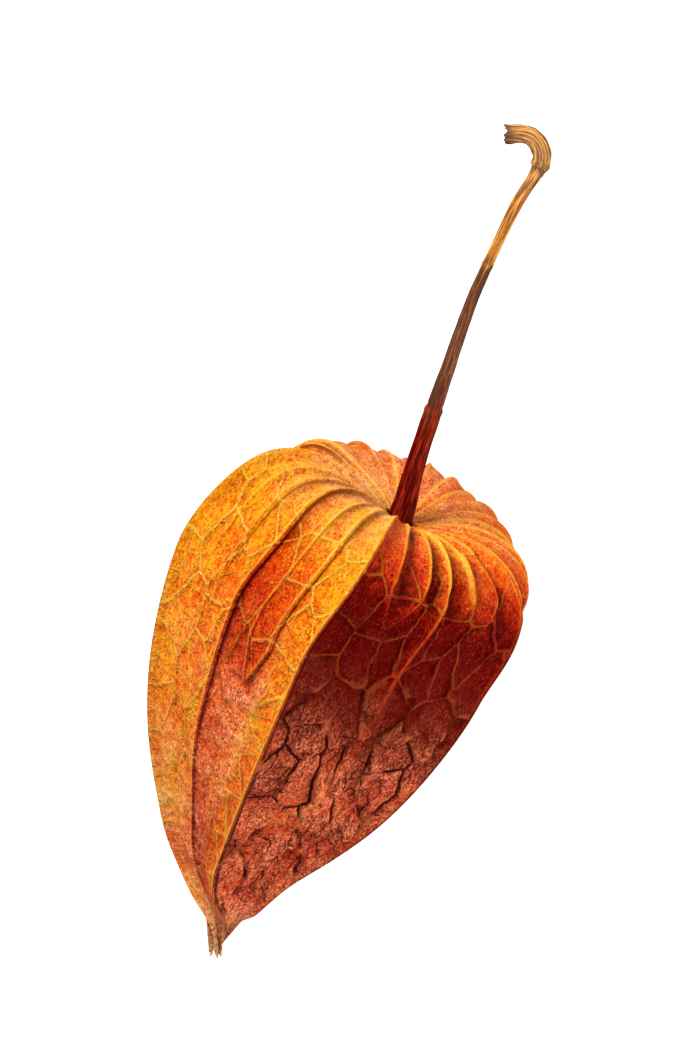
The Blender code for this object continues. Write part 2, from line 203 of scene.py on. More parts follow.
# Stalk route: sideways, height and rise, then its radius there
STALK_ROUTE = (
    (0.0, 56.4, 0.0, 1.28), (0.0, 57.6, 0.0, 1.25), (-0.4, 60.8, 0.0, 1.10), (-1.3, 68.1, 0.0, 0.91),
    (-2.05, 76.5, -0.2, 0.69), (-2.65, 84.4, -0.6, 0.60), (-2.6, 90.5, -0.9, 0.58),
    (-2.35, 96.0, -1.3, 0.62), (-1.95, 98.8, -1.6, 0.74), (-2.05, 100.1, -1.8, 0.96),
    (-2.8, 101.2, -2.0, 0.98), (-4.0, 101.7, -2.2, 0.96), (-5.2, 101.5, -2.3, 0.92),
    (-6.3, 101.0, -2.3, 1.02),
)

# The seat that the berry grows on, and its rings as shares down its thickness and across it
SEAT_RADIUS, SEAT_THICKNESS, SEAT_TOP, SEAT_EDGE = 2.5, 0.8, 56.1, 0.92
SEAT_PROFILE = ((1.0, SEAT_EDGE), (0.8, 0.98), (0.3, 1.0), (0.0, 0.8))

RING_SCAR_AT, SECOND_SCAR_AT, KNEE_AT, BELOW_HOOK = 70.4, 87.5, 99.0, 0.9
STALK_SIDES, STALK_RINGS, POLE_WITHIN = 36, 260, 0.001

# Rings on the stalk, each as height, width and place past its middle
SCAR_RING, SCAR_GROOVE, SECOND_RING = (0.13, 0.35), (-0.05, 0.2, 0.6), (0.05, 0.3)
KNEE_COLLAR = 0.2, 0.4, 0.45
SCAR_SLEEVE, SLEEVE, HOOK_GROWS_OVER = 0.06, ((-4.0, 3.0), (0.0, -1.0)), 0.25
SCAR_PALE, SECOND_PALE, KNEE_BROKEN = (0.9, 0.25), (0.6, 0.2), (0.5, 0.3)

# The stalk's ribs, and its hook's wrinkles as share of its radius, number round it and, for those across it,
# turn per length. A sway is its size and its turn per length
FLUTES, FLUTE_SWAY, FLUTES_LOST_AT_HOOK = 6, (0.35, 0.13), 0.5
FINE_FLUTES, FINE_FLUTE, FINE_SWAY = 17, 0.025, (1.3, 0.5)
LONG_WRINKLES, WRINKLE_SWAY, CROSS_WRINKLES = (0.05, 9), (2.2, 1.1), (0.03, 3, 5)

# Its fibres, and the torn end
FIBRE_DRAWN_OUT, RIDGE_LOST_AT_HOOK = 0.05, 0.4
TEAR_DEPTH, TEAR_LENGTH, TEAR_TEETH, END_SUNK, END_BROKEN = 0.7, 1.2, (7, 3), 0.35, 0.85

BERRY_RADIUS, BERRY_SQUASH, BERRY_GAP = 6.8, 0.95, 0.3
BERRY_PIT, BERRY_PIT_RADIUS, BERRY_HELD = 0.5, 2.6, 0.4
BERRY_SCAR = 0.35, 0.7
BERRY_SIDES, BERRY_RINGS, BERRY_WRINKLES, BERRY_SWAY = 96, 64, 9, (3, 3)

REST_SLOPE = math.radians(4.0)

# The photograph's view: where the stalk leaves the husk in it, and how the camera stands to the husk's axis
PHOTO_WIDTH, PHOTO_HEIGHT = 700, 1050
STALK_ROOT_PIXEL, STALK_ROOT_HEIGHT = (400, 518), 57.6
VIEW_BACK, VIEW_ASIDE, VIEW_ROLL = math.radians(20), math.radians(4), math.radians(24)
MM_PER_PIXEL, CLIP_FROM = 0.11, 0.01

# Each light's direction as shares of the image's right, its up and the way back, then its distance and size
KEY_LIGHT = (-0.55, 0.58, 0.60), 0.6, 0.26
FILL_LIGHT = (0.62, -0.55, 0.56), 0.5, 0.4
FLOOR_SIZE, FLOOR_ROUGHNESS = 4, 0.8


def smooth_curve(points, samples):
    """A natural cubic spline through the points, as samples evenly spaced along its chords."""
    p = np.array(points, float)
    chord = np.r_[0, np.cumsum(np.linalg.norm(np.diff(p, axis=0), axis=1))]
    step = np.diff(chord)[:, None]
    rows = np.eye(len(p))
    right = np.zeros_like(p)
    for i in range(1, len(p) - 1):
        rows[i, i - 1 : i + 2] = step[i - 1, 0], 2 * (step[i - 1, 0] + step[i, 0]), step[i, 0]
        right[i] = 6 * ((p[i + 1] - p[i]) / step[i] - (p[i] - p[i - 1]) / step[i - 1])
    bend = np.linalg.solve(rows, right)
    along = np.linspace(0, chord[-1], samples)
    i = np.clip(np.searchsorted(chord, along, side="right") - 1, 0, len(p) - 2)
    after, before = (chord[i + 1] - along)[:, None], (along - chord[i])[:, None]
    h = step[i]
    cubic = (bend[i] * after**3 + bend[i + 1] * before**3) / (6 * h)
    return cubic + (p[i] / h - bend[i] * h / 6) * after + (p[i + 1] / h - bend[i + 1] * h / 6) * before


def risen(value, start, over):
    """0 up to start, 1 from start + over on, smooth between; the other way round where over is under 0."""
    x = np.clip((value - start) / over, 0, 1)
    return x * x * (3 - 2 * x)


def within(value, start, end):
    """1 between a start and an end, each given as for risen()."""
    return risen(value, *start) * risen(value, *end)


def blend(a, b, share):
    return a + (b - a) * share


def hump(value, tall, wide, at=0.0):
    return tall * np.exp(-(((value - at) / wide) ** 2))


def sway(length, amount, slope):
    return amount * np.sin(length * slope)


class Outline:
    """The husk's outline as height and radius at a length along it, measured from the tip."""

    def __init__(self, points, samples=1200):
        curve = smooth_curve(points, samples)
        self.length = np.r_[0, np.cumsum(np.linalg.norm(np.diff(curve, axis=0), axis=1))]
        self.total = self.length[-1]
        slope = np.gradient(curve, self.length, axis=0)
        slope /= np.linalg.norm(slope, axis=1)[:, None]
        self.columns = (*curve.T, *slope.T)

    def at(self, length):
        """Height, radius, and the outward normal's parts across and along the axis."""
        height, radius, rise, spread = (np.interp(length, self.length, column) for column in self.columns)
        return height, radius, rise, -spread


def panel_of(angle):
    """Number of the panel between keels, counted from the top keel to the right."""
    return (angle / FULL_TURN * KEELS).astype(int) % KEELS


def sector_share(angle):
    """0 at a keel and 1 half way to the next."""
    return np.abs((angle / FULL_TURN * KEELS + 0.5) % 1 - 0.5) * 2


def panel_depth(angle, height, radius, crown):
    """How far a panel lies below the round through the keels, as a straight-sided cross-section."""
    full = np.where(panel_of(angle) == UNDERSIDE_PANEL, UNDERSIDE_RADIUS, PANEL_RADIUS_AT_BELLY)
    share = blend(PANEL_RADIUS_AT_TIP, full, risen(height, 0, BELLY_FROM))
    share = blend(share, PANEL_RADIUS_AT_TOP, crown)
    half = math.pi / KEELS
    turn = sector_share(angle) * half
    straight = math.sin(half) / (np.sin(half - turn) + np.sin(turn) / share)
    return radius * (1 - straight)


def crumple(angle, length):
    """Slow unevenness of the dried panels between the keels, which stay straight."""
    waves = sum(a * np.sin(n * angle + slope * length + start) for a, n, slope, start in CRUMPLE)
    return waves * risen(sector_share(angle), 0, CRUMPLE_OFF_KEEL) * risen(length, 0, CRUMPLE_GROWS_OVER)


def placed(outline, angle, length, relief):
    """Points of the husk as sideways, height and rise, with relief along its outline's outward normal."""
    height, radius, across, along = outline.at(length)
    bow = BOW * risen(radius, *BOW_RADIUS) * (1 - risen(height, *BOW_ENDS))
    radius = (radius + relief * across) * (1 - PINCH * risen(height, PINCH_HEIGHT, -PINCH_HEIGHT))
    height = height + relief * along
    wrung = np.clip(1 - height / TWIST_HEIGHT, 0, 1) ** 2
    turn = angle + TWIST * wrung
    sideways, rise = radius * np.sin(turn) + TIP_ASIDE * wrung**2, radius * np.cos(turn)
    height = height - SHOULDER_SKEW * sideways * risen(height, *SKEW)
    return np.stack([sideways - bow, height - TIP_LONGER * wrung, rise], axis=-1)


class HuskSurface:
    """The husk's outer face as rows and columns, its relief and its marks."""

    def __init__(self):
        self.rng = np.random.default_rng(SEED)
        self.pleat_rng = np.random.default_rng(PLEAT_SEED)
        self.outline = Outline(HUSK_OUTLINE)
        self.total = self.outline.total
        astray = self.rng.uniform(-1, 1, RIBS) * RIB_ASTRAY
        astray[::RIBS_PER_KEEL] = 0
        self.ribs = (np.arange(RIBS) + astray) * RIB_ANGLE
        self.rib_ends = self.rng.uniform(*SIDE_RIB_ENDS, RIBS)
        self.ends = self.pair_ends()
        even = np.arange(COLUMNS_PER_STRIP) / COLUMNS_PER_STRIP
        share = even - COLUMN_CROWDING * np.sin(FULL_TURN * even) / FULL_TURN
        following = np.r_[self.ribs[1:], self.ribs[0] + FULL_TURN]
        self.angle = (self.ribs[:, None] + (following - self.ribs)[:, None] * share).ravel()
        self.share = np.tile(share, RIBS)
        self.strip = np.repeat(np.arange(RIBS), COLUMNS_PER_STRIP)
        self.mouth = self.cleft_lengths()
        self.length = self.face(OUTER_ROWS)
        _, self.radius, *_ = self.outline.at(self.length)
        self.to_stalk = self.total - self.length

    def cleft_lengths(self):
        """Length along the outline at which each column starts, from a lobe's tip to its clefts."""
        cleft = np.array(CLEFTS)[panel_of(self.angle % FULL_TURN)]
        share = sector_share(self.angle % FULL_TURN)
        return cleft * blend(share**LOBE_CURVE, share, LOBE_TAPER)

    def face(self, rows):
        length = np.linspace(0, self.total, rows)[:, None]
        return length + self.mouth * np.clip(1 - length / MOUTH_ROWS_LENGTH, 0, 1)

    def base(self, length):
        """Depth of the bare husk below its outline."""
        height, radius, *_ = self.outline.at(length)
        to_stalk = self.total - length
        uneven = crumple(self.angle, length) * risen(to_stalk, 0, CRUMPLE_GROWS_OVER)
        fit = STALK_FIT * risen(to_stalk, STALK_FIT_OVER, -STALK_FIT_OVER)
        filled = np.maximum(self.behind(length, *BACK_FILL), self.behind(length, *SIDE_FILL))
        depth = panel_depth(self.angle, height, radius, risen(length, *CROWN)) * (1 - filled)
        return uneven - depth + fit

    def behind(self, length, amount, at, reach):
        """The amount on the shoulder at the given angle, and less to both sides of it."""
        back = amount * risen(np.abs(self.angle - at), reach, -reach)
        return back * risen(length, *BACK_STARTS) * risen(self.total - length, *BACK_ENDS)

    def off_line(self, angle):
        """How far each place is from a lengthwise line: to its left as less than 0, to its right as more."""
        return ((self.angle - angle + math.pi) % FULL_TURN - math.pi) * self.radius

    def pair_ends(self):
        """Length at which each pair of side ribs meets, for both of its ribs; 0 for the other ribs."""
        ends = np.zeros(RIBS)
        for first in range(0, RIBS, RIBS_PER_KEEL):
            for pair in PAIRS:
                both = first + np.array(pair)
                red = FINGERS_START[0] < self.ribs[both[0]] < FINGERS_END[0]
                ends[both] = self.rib_ends[both].max() + PAIR_HELD_BACK + PAIR_HELD_BACK_MORE * red
        return ends

    def rib_line(self, k):
        """A rib's angle at each place; those of a pair bend together towards where they meet."""
        place = k % RIBS_PER_KEEL
        for pair in PAIRS:
            if place in pair and k not in FADING_RIBS:
                meeting = self.ribs[k - place + np.array(pair)].mean()
                parted = np.clip((self.length - self.ends[k]) / PAIR_MEETS_OVER, 0, 1) ** PAIR_CURVE
                return blend(meeting, self.ribs[k], parted)
        return self.ribs[k]

    def tongues(self):
        """1 on the strip between the ribs of a pair, down to the point where they meet."""
        inside = np.zeros_like(self.length)
        for first in range(0, RIBS, RIBS_PER_KEEL):
            for pair in PAIRS:
                if first + pair[0] in FADING_RIBS:
                    continue
                left, right = (self.off_line(self.rib_line(first + place)) for place in pair)
                here = risen(left, 0, TONGUE_EDGE) * risen(right, 0, -TONGUE_EDGE)
                inside = np.maximum(inside, here * (self.length > self.ends[first + pair[0]]))
        return inside

    def rib_form(self, k):
        """A rib's crest, its step, and how much of it has grown at each place."""
        place = k % RIBS_PER_KEEL
        if place == 0:
            grown = 1 - KEEL_LOST_AT_TOP * risen(self.length, *CROWN)
            return KEEL_CREST, KEEL_STEP, grown * risen(self.length, 0, KEEL_GROWS_OVER)
        if place == RIBS_PER_KEEL // 2:
            grown = blend(MAIN_LEFT_AT_TIP, 1, risen(self.length, *MAIN_WHOLE))
            return MAIN_CREST, MAIN_STEP, grown * risen(self.length, 0, MAIN_GROWS_OVER)
        over = FADING_OVER if k in FADING_RIBS else SIDE_GROWS_OVER
        grown = risen(self.length, self.ends[k] - over / 2, over) * FADING_RIBS.get(k, 1)
        step, *slopes = SIDE_STEP
        first = place in [pair[0] for pair in PAIRS]
        return SIDE_CREST, (step * (PAIR_FIRST_STEP if first else 1), *slopes), grown

    def rib_relief(self):
        """Keels and ribs: each a crest with a step down to its right, the distance to its pale line set off
        towards the lit side, and painted shadow at its foot.
        """
        relief, strength, foot_shade_on = (np.zeros_like(self.length) for _ in range(3))
        nearest, foot = np.full_like(self.length, RIB_REACH), np.full_like(self.length, FOOT_REACH)
        room = CREST_CROWDING * RIB_ANGLE * self.radius
        fade = risen(self.to_stalk, 0, CREST_ENDS_OVER)
        stepped = risen(self.length, *STEP_STARTS) * risen(self.to_stalk, *STEP_ENDS)
        for k in range(RIBS):
            (tall, wide), (step, before, fall, after), grown = self.rib_form(k)
            off = self.off_line(self.rib_line(k))
            crest = np.exp(-((np.abs(off) / np.minimum(wide, room)) ** CREST_SHARPNESS))
            left = STEP_RISEN * np.exp(np.minimum(off, 0) / before)
            right = risen(off, fall, -fall) - (1 - STEP_RISEN) * np.exp(-np.maximum(off, 0) / after)
            relief += grown * (tall * fade * crest + step * stepped * np.where(off < 0, left, right))
            off_crest = np.abs(off + LIT_SIDE_SHIFT)
            near = off_crest < nearest
            nearest = np.where(near, off_crest, nearest)
            strength = np.where(near, grown, strength)
            past = off / FOOT_WIDTH
            behind = (past > 0) & (past < foot)
            foot = np.where(behind, past, foot)
            dark = FAINT_FOOT_SHADES.get(k, 1 if tall > SIDE_CREST[0] else SIDE_FOOT_SHADE)
            # How dark the painted shadow at the foot is: fainter behind side ribs and some others
            foot_shade_on = np.where(behind, grown * dark, foot_shade_on)
        return relief, nearest, strength, foot, foot_shade_on * risen(self.to_stalk, *FOOT_ENDS)

    def pleat_relief(self):
        """Pleats round the stalk, each rising from one rib to the next and falling sharply behind it, with
        painted shade in the valleys between them.
        """
        finger = within(self.angle, FINGERS_START, FINGERS_END)
        tall = PLEAT_HEIGHT * self.pleat_rng.uniform(*PLEAT_UNEVEN, RIBS)
        ends = self.pleat_rng.uniform(*PLEAT_ENDS, RIBS)
        reach = risen(self.to_stalk, *PLEAT_STARTS)

        def amount(strip, share):
            soft = 1 - risen(self.to_stalk, ends[strip], PLEAT_ENDS_OVER)
            round_end = ends[strip] - FINGER_TIP * (2 * share - 1) ** 2
            blunt = 1 - risen(self.to_stalk, round_end, FINGER_ENDS_OVER)
            return tall[strip] * blend(PLEAT_LEFT_ELSEWHERE, 1, finger) * reach * blend(soft, blunt, finger)

        own, last = amount(self.strip, self.share), amount(self.strip - 1, 1.0)
        fall = 1 - risen(self.share, 0, PLEAT_FALL)
        relief = own * (self.share - 0.5) + fall * 0.5 * (own + last) - PLEAT_SUNK * own
        dark = (VALLEY_PAINTED_SHADE + FINGER_VALLEY_PAINTED_SHADE * finger) * hump(self.share, 1, VALLEY_WIDTH, PLEAT_FALL)
        return relief, dark * (own + last) / PLEAT_HEIGHT

    def skin(self):
        """Places on each panel's skin laid out flat, in metres, with the panels far apart."""
        panel = self.strip // RIBS_PER_KEEL
        middle = (panel + 0.5) * FULL_TURN / KEELS
        across = (self.angle - middle) * self.radius * PLATE_STRETCH[0] + PANEL_APART * panel
        return np.stack([across, self.length * PLATE_STRETCH[1], 0 * self.length], axis=-1) * MM

    def worn(self, degrees):
        """How far the skin is worn: less along the top keel, on tongues and on the amber side."""
        edge = (-self.angle % FULL_TURN) * self.radius
        amber = within(degrees, *AMBER_SIDE) * risen(self.length, *AMBER_FROM)
        worn = risen(self.length, *WORN) * (1 - EDGE_KEPT * risen(edge, *EDGE))
        return worn * (1 - TONGUE_KEPT * self.tongues()) * (1 - AMBER_KEPT * amber)

    def tint(self, degrees):
        """How red the skin is, from the table of tints."""
        at, *levels = zip(*TINTS)
        low, belly, shoulder = (np.interp(degrees, at, level) for level in levels)
        tint = blend(low, belly, risen(self.length, *TINT_BELLY))
        lowered = self.length + LEFT_SHOULDER_LOWER * risen(degrees, *LEFT_SIDE)
        return blend(tint, shoulder, risen(lowered, *TINT_SHOULDER))

    def build(self):
        """Points of the outer face and its marks, each as rows by columns."""
        ribs, rib_off, rib_on, foot, foot_shade_on = self.rib_relief()
        pleats, painted_valley_shade = self.pleat_relief()
        self.relief = ribs + pleats + TONGUE_HEIGHT * self.tongues() - self.behind(self.length, *BACK_DIP)
        points = placed(self.outline, self.angle, self.length, self.base(self.length) + self.relief)
        degrees = np.degrees(self.angle) % 360
        right_side, fingers = within(degrees, *RIGHT_SIDE), within(degrees, *FINGER_SIDE)
        worn = self.worn(degrees)
        cracked = blend(CRACKED_ELSEWHERE, 1, right_side) * worn + CRACKED_WHOLE * right_side
        cracked = cracked * risen(self.length, 0, CRACKS_GROW_OVER) * risen(self.to_stalk, *CRACKS_END)
        net = risen(self.length, 0, NET_GROWS_OVER) * risen(self.to_stalk, *NET_ENDS)
        evenly = np.maximum(right_side, 1 - risen(self.length, *WORN_EVENLY))
        kept = RIGHT_KEPT * right_side * risen(self.length, *RIGHT_KEPT_FROM)
        marks = {
            "rib_off": np.minimum(rib_off, RIB_REACH),
            "rib_on": rib_on * (1 - RIB_WORN * worn * right_side),
            "foot": foot,
            "foot_shade_on": foot_shade_on,
            "skin": self.skin(),
            "net_on": net * (1 - blend(NET_WORN, 1, right_side) * worn**2),
            "crack_on": cracked,
            "painted_valley_shade": painted_valley_shade,
            "tint": self.tint(degrees) - PLEAT_PAINTED_LIGHT * pleats,
            "worn": worn * blend(WORN_ELSEWHERE, 1, evenly) * (1 - kept),
            "shoulder": risen(self.length, *SHOULDER_FILM) * (1 - FINGERS_CLEAR * fingers),
            "tip": risen(self.length, TIP_BROWNED, -TIP_BROWNED),
        }
        return points, marks

    def inner(self, wall):
        """Points of the inner face, from the stalk back to the mouth, under the lowest of the outer face."""
        length = self.face(INNER_ROWS)
        low = np.minimum(self.relief, 0)
        columns = range(low.shape[1])
        low = np.stack([np.interp(length[:, i], self.length[:, i], low[:, i]) for i in columns], axis=1)
        for turn in range(-INNER_SMOOTHING, INNER_SMOOTHING + 1):
            low = np.minimum(low, np.roll(low, turn, axis=1))
        depth = wall * blend(INNER_AT_MOUTH, 1, risen(length, *INNER_WHOLE))
        return placed(self.outline, self.angle, length, self.base(length) + low - depth)[::-1]


def berry_place():
    """Height of the berry's middle, held just below the stalk's seat."""
    return SEAT_TOP - SEAT_THICKNESS - BERRY_GAP + BERRY_PIT * BERRY_HELD - BERRY_RADIUS * BERRY_SQUASH


def resting_place():
    """How the fruit lies in the frame: its slope, and its place, from the berry and the stalk's seat."""
    low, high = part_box("berry")
    middle = (low + high) / 2
    seat = Vector((0, SEAT_TOP - SEAT_THICKNESS, SEAT_RADIUS * SEAT_EDGE)) * MM
    turn = Matrix.Rotation(REST_SLOPE, 4, "X")
    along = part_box("stalk")[0].y - (turn @ seat).y
    up = middle.z - (turn @ Vector((0, berry_place() * MM, 0))).z
    return Matrix.Translation((middle.x, along, up)) @ turn


def select_only(*objects):
    bpy.ops.object.select_all(action="DESELECT")
    for obj in objects:
        obj.select_set(True)
    bpy.context.view_layer.objects.active = objects[0]


def added(name):
    """The primitive that was just added, named and alone in the selection."""
    piece = bpy.context.active_object
    piece.name = name
    piece.data.name = name
    select_only(piece)
    return piece


def shape(piece, points):
    """Moves the piece's vertices to points in millimetres about the husk's axis, and lays them down."""
    piece.data.vertices.foreach_set("co", np.ascontiguousarray(points, float).ravel() * MM)
    piece.data.transform(resting_place())
    piece.data.update()


def rolled(values):
    """Rows by columns with the first of each repeated at the end, as on a sheet rolled up both ways."""
    return np.pad(values, ((0, 1), (0, 1)) + ((0, 0),) * (values.ndim - 2), mode="wrap")


def edit_all(piece, operator, **settings):
    """Runs an edit mode operator on the whole piece."""
    select_only(piece)
    bpy.ops.object.mode_set(mode="EDIT")
    bpy.ops.mesh.select_all(action="SELECT")
    operator(**settings)
    bpy.ops.object.mode_set(mode="OBJECT")


def close_seams(piece):
    """Joins the sheet's edges where they meet."""
    edit_all(piece, bpy.ops.mesh.remove_doubles, threshold=SEAM_GAP)


def face_outwards(piece):
    edit_all(piece, bpy.ops.mesh.normals_make_consistent, inside=False)
    bpy.ops.object.shade_smooth()


def sphere_angles(sphere):
    """Latitude and turn of each vertex of a ball of radius 1."""
    x, y, z = np.array([v.co for v in sphere.data.vertices]).T
    return np.arcsin(np.clip(z, -1, 1)), np.arctan2(y, x)


def mark(piece, name, values):
    """Stores one value or place for each vertex, for the relief and the materials to read."""
    values = np.ascontiguousarray(values, np.float32).ravel()
    single = values.size == len(piece.data.vertices)
    attribute = piece.data.attributes.new(name, "FLOAT" if single else "FLOAT_VECTOR", "POINT")
    attribute.data.foreach_set("value" if single else "vector", values)


class Pattern:
    """Nodes of one tree, with the few node shapes that the skin's relief and the finishes share."""

    def __init__(self, tree):
        self.nodes, self.links = tree.nodes, tree.links

    def add(self, kind, inputs, output=0, **settings):
        node = self.nodes.new(kind)
        for name, value in settings.items():
            setattr(node, name, value)
        for name, value in inputs.items():
            self.connect(value, node.inputs[name])
        return node.outputs[output]

    def connect(self, value, socket):
        if isinstance(value, bpy.types.NodeSocket):
            self.links.new(value, socket)
        else:
            socket.default_value = value

    def math(self, operation, first, *others):
        """The operation's result for the first value and each of the others in turn."""
        for value in others:
            first = self.add("ShaderNodeMath", {0: first, 1: value}, operation=operation)
        return first

    def times(self, *values):
        return self.math("MULTIPLY", *values)

    def plus(self, *values):
        return self.math("ADD", *values)

    def most(self, *values):
        return self.math("MAXIMUM", *values)

    def least(self, *values):
        return self.math("MINIMUM", *values)

    def swing(self, noise, amount):
        """How far noise is from its middle, times an amount."""
        return self.times(self.math("SUBTRACT", noise, 0.5), amount)

    def vector(self, operation, a, b, output="Vector"):
        return self.add("ShaderNodeVectorMath", {0: a, 1: b}, output, operation=operation)

    def between(self, value, low, high, to_low=0.0, to_high=1.0):
        """A smooth change from one value to another while a third goes from low to high."""
        inputs = {"Value": value, "From Min": low, "From Max": high, "To Min": to_low, "To Max": to_high}
        return self.add("ShaderNodeMapRange", inputs, "Result", interpolation_type="SMOOTHSTEP")

    def noise(self, size, detail=3.0, rough=0.55, place=None, output="Fac"):
        """Noise with features of about the given size in metres."""
        inputs = {"Vector": place or self.place, "Scale": 1 / size, "Detail": detail, "Roughness": rough}
        return self.add("ShaderNodeTexNoise", inputs, output)

    def stretched(self, along):
        """Places drawn out along the fruit, for fibres."""
        return self.add("ShaderNodeMapping", {"Vector": self.place, "Scale": (1, along, 1)})

    def shift(self, size, amount):
        """A small shift to and fro, to keep lines from running straight."""
        shift = self.vector("SUBTRACT", self.noise(size, 4.0, 0.6, output="Color"), (0.5, 0.5, 0.5))
        return self.add("ShaderNodeVectorMath", {0: shift, "Scale": 2 * amount}, operation="SCALE")

    def cells(self, place, size, dimensions="3D", feature="F1"):
        node = self.nodes.new("ShaderNodeTexVoronoi")
        node.voronoi_dimensions = dimensions
        node.feature = feature
        self.connect(place, node.inputs["Vector"])
        self.connect(1 / size, node.inputs["Scale"])
        return node

    def granules(self, size, place):
        """Small grains of uneven strength, from 0 to 1."""
        node = self.cells(place, size)
        near = self.between(node.outputs["Distance"], 0.62, 0.22)
        return self.times(near, self.between(node.outputs["Color"], 0.28, 0.62))

    def edges(self, place, size):
        """Distance in metres to the nearest edge between cells of the given size."""
        return self.times(self.cells(place, size, "2D", "DISTANCE_TO_EDGE").outputs["Distance"], size)

    def tilts(self, place, size):
        """How far each cell's skin is tipped, about -0.3 to 0.3, and more often up towards the tip."""
        node = self.cells(place, size, "2D")
        slope = self.vector("SUBTRACT", node.outputs["Color"], (0.5, 0.5 + PLATE_LEAN, 0.5))
        away = self.vector("MULTIPLY", self.vector("SUBTRACT", place, node.outputs["Position"]), (1, 1, 0))
        return self.math("DIVIDE", self.vector("DOT_PRODUCT", away, slope, "Value"), size)

    def skin_cells(self, size, warp):
        """Cells of the husk's skin: distance to their edges, and how far they tip."""
        place = self.vector("ADD", self.read("skin", "FLOAT_VECTOR"), self.shift(*warp))
        return self.edges(place, size), self.tilts(place, size)


class Relief(Pattern):
    """Relief of a surface, as nodes that move it along its normals."""

    def __init__(self, name):
        self.tree = bpy.data.node_groups.new(name, "GeometryNodeTree")
        super().__init__(self.tree)
        for way in ("INPUT", "OUTPUT"):
            self.tree.interface.new_socket("Geometry", in_out=way, socket_type="NodeSocketGeometry")
        self.place = self.nodes.new("GeometryNodeInputPosition").outputs[0]

    def read(self, name, kind="FLOAT"):
        return self.add("GeometryNodeInputNamedAttribute", {"Name": name}, "Attribute", data_type=kind)

    def applied(self, piece, height):
        """Moves the piece's surface by a height in metres, with a modifier that is then applied."""
        normal = self.nodes.new("GeometryNodeInputNormal").outputs[0]
        offset = self.add("ShaderNodeVectorMath", {0: normal, "Scale": height}, operation="SCALE")
        start = self.nodes.new("NodeGroupInput").outputs[0]
        moved = self.add("GeometryNodeSetPosition", {"Geometry": start, "Offset": offset})
        self.links.new(moved, self.nodes.new("NodeGroupOutput").inputs[0])
        select_only(piece)
        bpy.ops.object.modifier_add(type="NODES")
        piece.modifiers[-1].node_group = self.tree
        bpy.ops.object.modifier_apply(modifier=piece.modifiers[-1].name)


class Finish(Pattern):
    """A procedural material under construction."""

    def __init__(self, name):
        self.material = bpy.data.materials.new(name)
        self.material.use_nodes = True
        super().__init__(self.material.node_tree)
        self.shader = self.nodes["Principled BSDF"]
        self.place = self.nodes.new("ShaderNodeTexCoord").outputs["Object"]

    def read(self, name, kind="FLOAT"):
        output = "Fac" if kind == "FLOAT" else "Vector"
        return self.add("ShaderNodeAttribute", {}, output, attribute_name=name)

    def ramp(self, value, stops):
        node = self.nodes.new("ShaderNodeValToRGB")
        self.connect(value, node.inputs["Fac"])
        elements = node.color_ramp.elements
        while len(elements) < len(stops):
            elements.new(1.0)
        for element, (position, colour) in zip(elements, stops):
            element.position = position
            element.color = (*colour, 1)
        return node.outputs["Color"]

    def mix(self, factor, a, b):
        node = self.nodes.new("ShaderNodeMix")
        node.data_type = "RGBA"
        self.connect(factor, node.inputs["Factor"])
        for value, index in ((a, 6), (b, 7)):
            value = value if isinstance(value, bpy.types.NodeSocket) else (*value, 1)
            self.connect(value, node.inputs[index])
        return node.outputs[2]

    def bump(self, height, strength, distance, under=None):
        inputs = {"Strength": strength, "Distance": distance, "Height": height}
        if under is not None:
            inputs["Normal"] = under
        return self.add("ShaderNodeBump", inputs, "Normal")

    def done(self, colour, roughness, normal, specular=0.5):
        self.connect(colour, self.shader.inputs["Base Color"])
        self.connect(roughness, self.shader.inputs["Roughness"])
        self.links.new(normal, self.shader.inputs["Normal"])
        self.shader.inputs["Specular IOR Level"].default_value = specular
        return self.material


def husk_relief(husk, s):
    """Raises the net of veins, and tips and cracks the skin's plates where it is worn."""
    r = Relief("husk relief")
    plate_off, plate_tip = r.skin_cells(PLATE_SIZE, PLATE_WARP)
    cell_off, cell_tip = r.skin_cells(CELL_SIZE, CELL_WARP)
    off_rib = r.between(r.read("rib_off"), 0.2, 1.2)
    net_on = r.read("net_on")
    net = r.times(r.between(plate_off, *RAISED_VEIN), net_on, s.vein_height)
    sunk = r.times(r.between(plate_off, *SUNK_CRACK), -s.crack_depth)
    tipped = r.times(plate_tip, r.between(plate_off, *PLATE_EDGE, 0.0, s.plate_tip))
    small = r.times(cell_tip, r.between(cell_off, *CELL_EDGE, 0.0, s.plate_tip * CELL_TIP))
    skin = r.times(r.plus(sunk, tipped, small), r.read("crack_on"))
    whole = r.times(r.plus(tipped, small), net_on, TIPPED_WHERE_WHOLE)
    height = r.plus(net, skin, whole, r.swing(r.noise(LUMPS), s.uneven))
    r.applied(husk, r.most(r.times(height, off_rib), -s.deepest))


